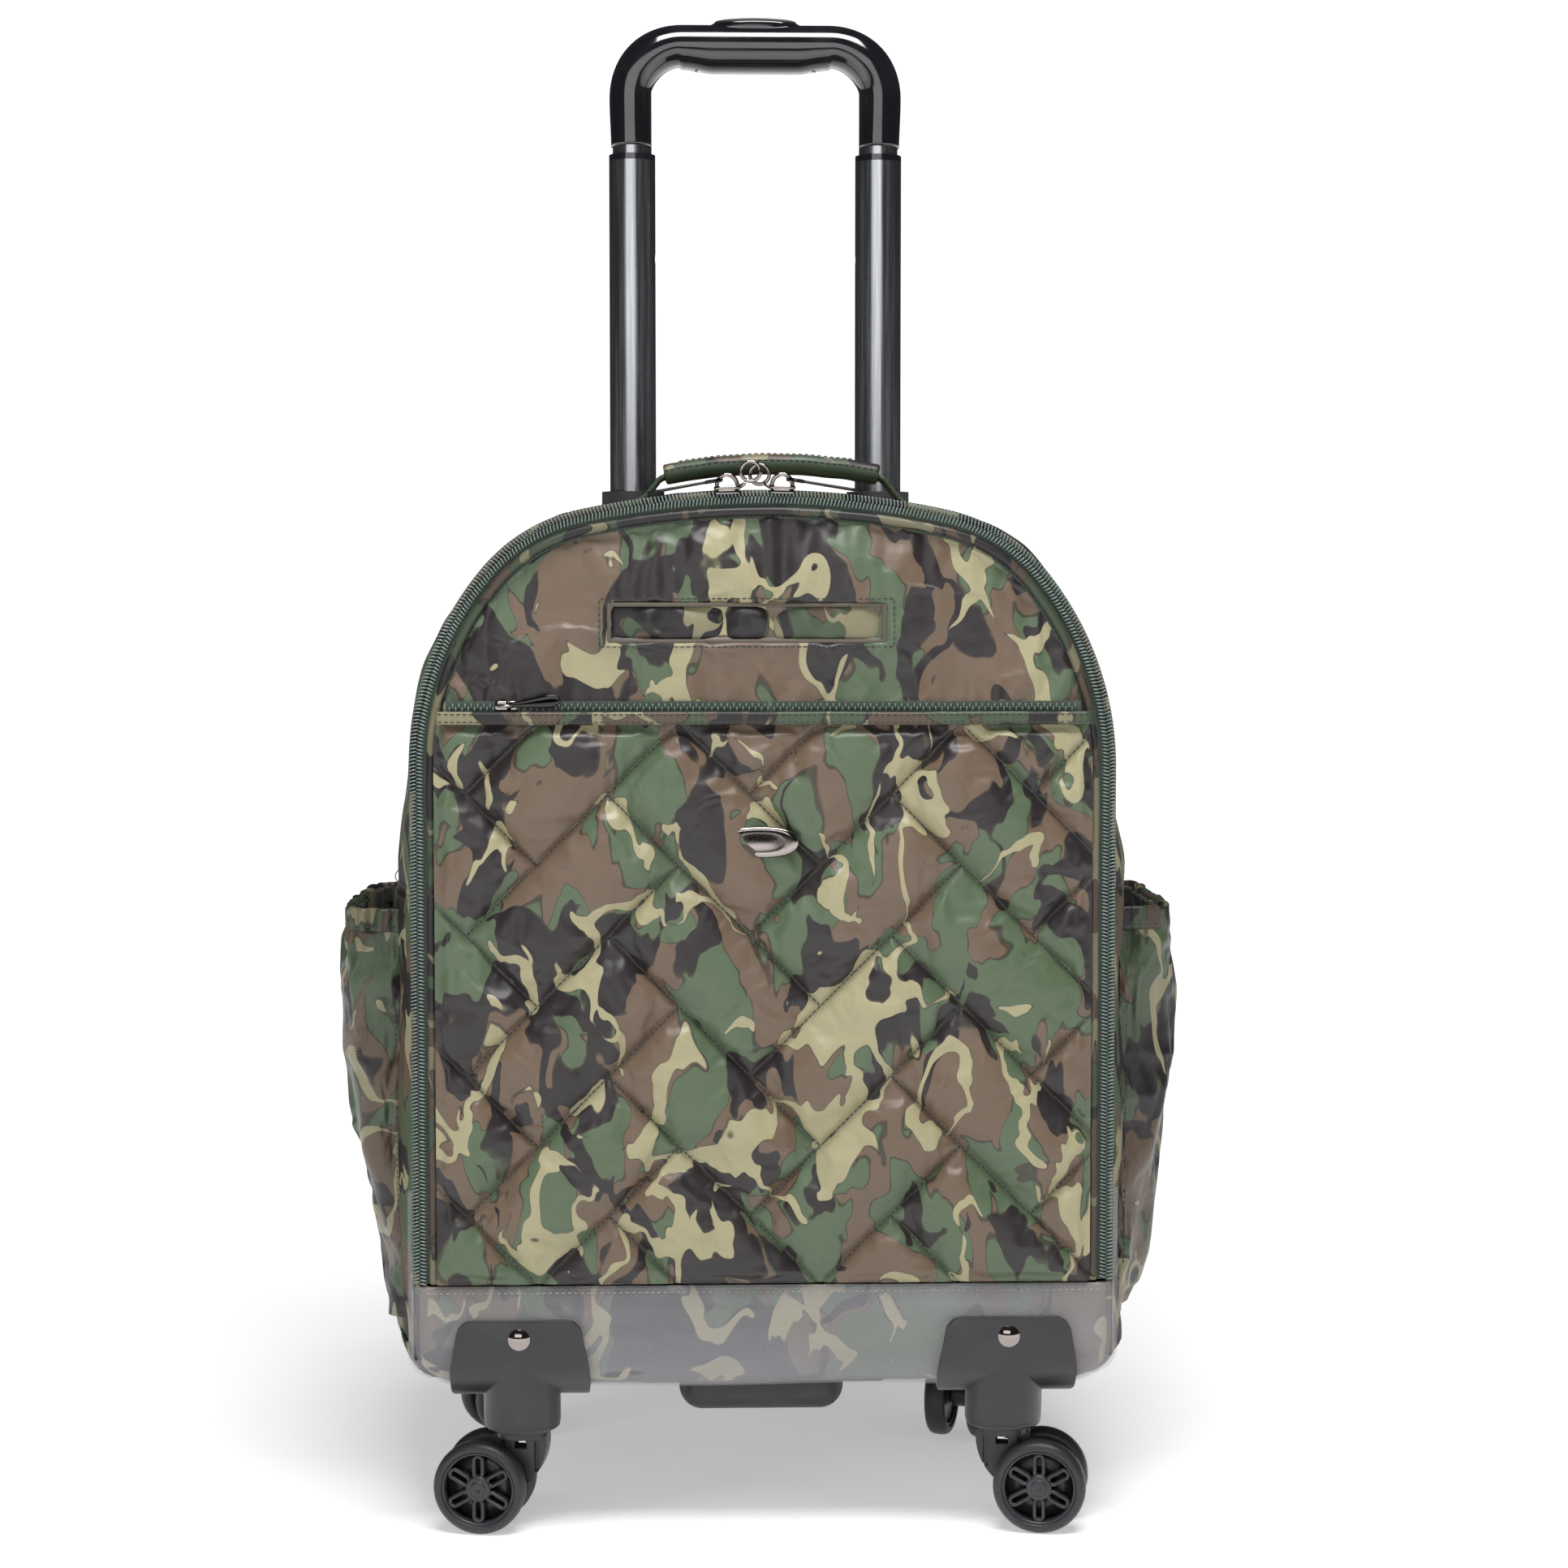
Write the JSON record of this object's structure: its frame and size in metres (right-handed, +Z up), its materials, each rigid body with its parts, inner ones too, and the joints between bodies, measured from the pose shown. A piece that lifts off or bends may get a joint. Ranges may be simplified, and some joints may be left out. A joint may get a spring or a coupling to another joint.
{
  "type": "rolling duffel bag",
  "caption": "Domed soft cabin bag with a telescopic trolley handle, twin-wheel swivel casters, a zipped fold-down front and side pockets.",
  "frame": {"origin": "on the floor under the middle of the bag", "axes": "+Z up along the trolley tubes, -Y towards the zipped front, +X to the viewer's right of the front"},
  "size_m": [0.4338, 0.2331, 0.7732],
  "materials": {
    "camo_fabric": "satin woven nylon with a woodland pattern",
    "lining_fabric": "black woven lining over board",
    "camo_piping": "fabric piping",
    "zip_coil": "dark green nylon coil",
    "zip_metal": "polished gunmetal",
    "clear_pvc": "frosted clear vinyl",
    "dark_plastic": "moulded matte",
    "grip_plastic": "gloss black",
    "leatherette": "dark green leatherette",
    "tube_metal": "dark anodised and polished",
    "steel": "plated steel",
    "elastic": "gathered elastic hem",
    "wheel_rubber": "satin dark grey"
  },
  "bodies": {
    "bag": {"gusset_top": "camo_fabric", "side_panel_left": "camo_fabric", "side_panel_right": "camo_fabric", "bottom_panel": "camo_fabric", "front_sill": "camo_fabric", "back_panel": "camo_fabric", "back_board": "lining_fabric", "back_piping": "camo_piping", "base_tray": "dark_plastic", "bottom_guard": "clear_pvc", "side_pocket_left": "camo_fabric", "side_pocket_right": "camo_fabric", "pocket_elastics": "elastic", "grab_handle_sleeve": "leatherette", "grab_handle_straps": "leatherette", "bottom_handle": "dark_plastic", "body_zip_chain": "zip_coil", "outer_tubes": "tube_metal", "trolley_foot": "dark_plastic", "trolley_bezel": "grip_plastic", "caster_bracket_front_left": "dark_plastic", "caster_bracket_front_right": "dark_plastic", "caster_bracket_rear_left": "dark_plastic", "caster_bracket_rear_right": "dark_plastic", "kingpins": "steel", "bracket_bolts": "zip_metal", "caster_screws": "steel"},
    "front_lid": {"lid_zip_chain": "zip_coil", "front_panel": "camo_fabric", "lid_piping": "camo_piping", "front_pocket": "camo_fabric", "pocket_binding": "camo_piping", "pocket_zip_chain": "zip_coil", "badge": "zip_metal"},
    "pocket_slider_body": {"pocket_slider": "zip_metal"},
    "pocket_pull_body": {"pocket_pull": "zip_metal"},
    "slider_left_body": {"slider_left": "zip_metal"},
    "pull_left_body": {"pull_left": "zip_metal"},
    "slider_right_body": {"slider_right": "zip_metal"},
    "pull_right_body": {"pull_right": "zip_metal"},
    "middle_stage": {"middle_tubes": "tube_metal", "middle_collars": "grip_plastic"},
    "grip_stage": {"inner_tubes": "tube_metal", "grip_shell": "grip_plastic", "grip_insert": "grip_plastic", "grip_screws": "steel"},
    "release": {"grip_button": "grip_plastic", "release_rods": "steel"},
    "fork_front_left": {"caster_fork_front_left": "dark_plastic"},
    "wheel_front_left_a": {"caster_wheel_front_left_a": "wheel_rubber"},
    "wheel_front_left_b": {"caster_wheel_front_left_b": "wheel_rubber"},
    "fork_front_right": {"caster_fork_front_right": "dark_plastic"},
    "wheel_front_right_a": {"caster_wheel_front_right_a": "wheel_rubber"},
    "wheel_front_right_b": {"caster_wheel_front_right_b": "wheel_rubber"},
    "fork_rear_left": {"caster_fork_rear_left": "dark_plastic"},
    "wheel_rear_left_a": {"caster_wheel_rear_left_a": "wheel_rubber"},
    "wheel_rear_left_b": {"caster_wheel_rear_left_b": "wheel_rubber"},
    "fork_rear_right": {"caster_fork_rear_right": "dark_plastic"},
    "wheel_rear_right_a": {"caster_wheel_rear_right_a": "wheel_rubber"},
    "wheel_rear_right_b": {"caster_wheel_rear_right_b": "wheel_rubber"}
  },
  "joints": [
    {"name": "front_panel_fold", "type": "hinge", "parent": "bag", "child": "front_lid", "pos_m": [0, -0.11, 0.1263], "axis": [1, 0, 0], "range_deg": [0, 95]},
    {"name": "pocket_zip_travel", "type": "slide", "parent": "front_lid", "child": "pocket_slider_body", "axis": [1, 0, 0], "range_m": [-0.016, 0.262]},
    {"name": "pocket_pull_swing", "type": "hinge", "parent": "pocket_slider_body", "child": "pocket_pull_body", "pos_m": [-0.1227, -0.1143, 0.4097], "axis": [0.1045, 0, -0.9945], "range_deg": [0, 120]},
    {"name": "left_slider_travel", "type": "hinge", "parent": "bag", "child": "slider_left_body", "pos_m": [0, -0.105, 0.093], "axis": [0, 1, 0], "range_deg": [-8.6, 0]},
    {"name": "right_slider_travel", "type": "hinge", "parent": "bag", "child": "slider_right_body", "pos_m": [0, -0.105, 0.093], "axis": [0, 1, 0], "range_deg": [0, 9.8]},
    {"name": "left_pull_swing", "type": "hinge", "parent": "slider_left_body", "child": "pull_left_body", "pos_m": [-0.02082, -0.105, 0.518], "axis": [0, 1, 0], "range_deg": [0, 85]},
    {"name": "right_pull_swing", "type": "hinge", "parent": "slider_right_body", "child": "pull_right_body", "pos_m": [0.01191, -0.105, 0.51834], "axis": [0, -1, 0], "range_deg": [0, 85]},
    {"name": "middle_stage_slide", "type": "slide", "parent": "bag", "child": "middle_stage", "axis": [0, 0, 1], "range_m": [-0.185, 0]},
    {"name": "grip_stage_slide", "type": "slide", "parent": "middle_stage", "child": "grip_stage", "axis": [0, 0, 1], "range_m": [0, 0.19]},
    {"name": "button_press", "type": "slide", "parent": "grip_stage", "child": "release", "axis": [0, 0, -1], "range_m": [0, 0.003], "stiffness_N_per_m": 1500, "springref_m": -0.002},
    {"name": "swivel_front_left", "type": "hinge", "parent": "bag", "child": "fork_front_left", "pos_m": [-0.1195, -0.087, 0.049], "axis": [0, 0, 1], "continuous": true},
    {"name": "spin_front_left_a", "type": "hinge", "parent": "fork_front_left", "child": "wheel_front_left_a", "pos_m": [-0.13821, -0.0837, 0.023], "axis": [-0.1736, -0.9848, 0], "continuous": true},
    {"name": "spin_front_left_b", "type": "hinge", "parent": "fork_front_left", "child": "wheel_front_left_b", "pos_m": [-0.13821, -0.0837, 0.023], "axis": [-0.1736, -0.9848, 0], "continuous": true},
    {"name": "swivel_front_right", "type": "hinge", "parent": "bag", "child": "fork_front_right", "pos_m": [0.1195, -0.087, 0.049], "axis": [0, 0, 1], "continuous": true},
    {"name": "spin_front_right_a", "type": "hinge", "parent": "fork_front_right", "child": "wheel_front_right_a", "pos_m": [0.13821, -0.0903, 0.023], "axis": [0.1736, 0.9848, 0], "continuous": true},
    {"name": "spin_front_right_b", "type": "hinge", "parent": "fork_front_right", "child": "wheel_front_right_b", "pos_m": [0.13821, -0.0903, 0.023], "axis": [0.1736, 0.9848, 0], "continuous": true},
    {"name": "swivel_rear_left", "type": "hinge", "parent": "bag", "child": "fork_rear_left", "pos_m": [-0.1195, 0.087, 0.049], "axis": [0, 0, 1], "continuous": true},
    {"name": "spin_rear_left_a", "type": "hinge", "parent": "fork_rear_left", "child": "wheel_rear_left_a", "pos_m": [-0.13672, 0.07897, 0.023], "axis": [0.4226, -0.9063, 0], "continuous": true},
    {"name": "spin_rear_left_b", "type": "hinge", "parent": "fork_rear_left", "child": "wheel_rear_left_b", "pos_m": [-0.13672, 0.07897, 0.023], "axis": [0.4226, -0.9063, 0], "continuous": true},
    {"name": "swivel_rear_right", "type": "hinge", "parent": "bag", "child": "fork_rear_right", "pos_m": [0.1195, 0.087, 0.049], "axis": [0, 0, 1], "continuous": true},
    {"name": "spin_rear_right_a", "type": "hinge", "parent": "fork_rear_right", "child": "wheel_rear_right_a", "pos_m": [0.11379, 0.06888, 0.023], "axis": [0.9537, -0.3007, 0], "continuous": true},
    {"name": "spin_rear_right_b", "type": "hinge", "parent": "fork_rear_right", "child": "wheel_rear_right_b", "pos_m": [0.11379, 0.06888, 0.023], "axis": [0.9537, -0.3007, 0], "continuous": true}
  ]
}
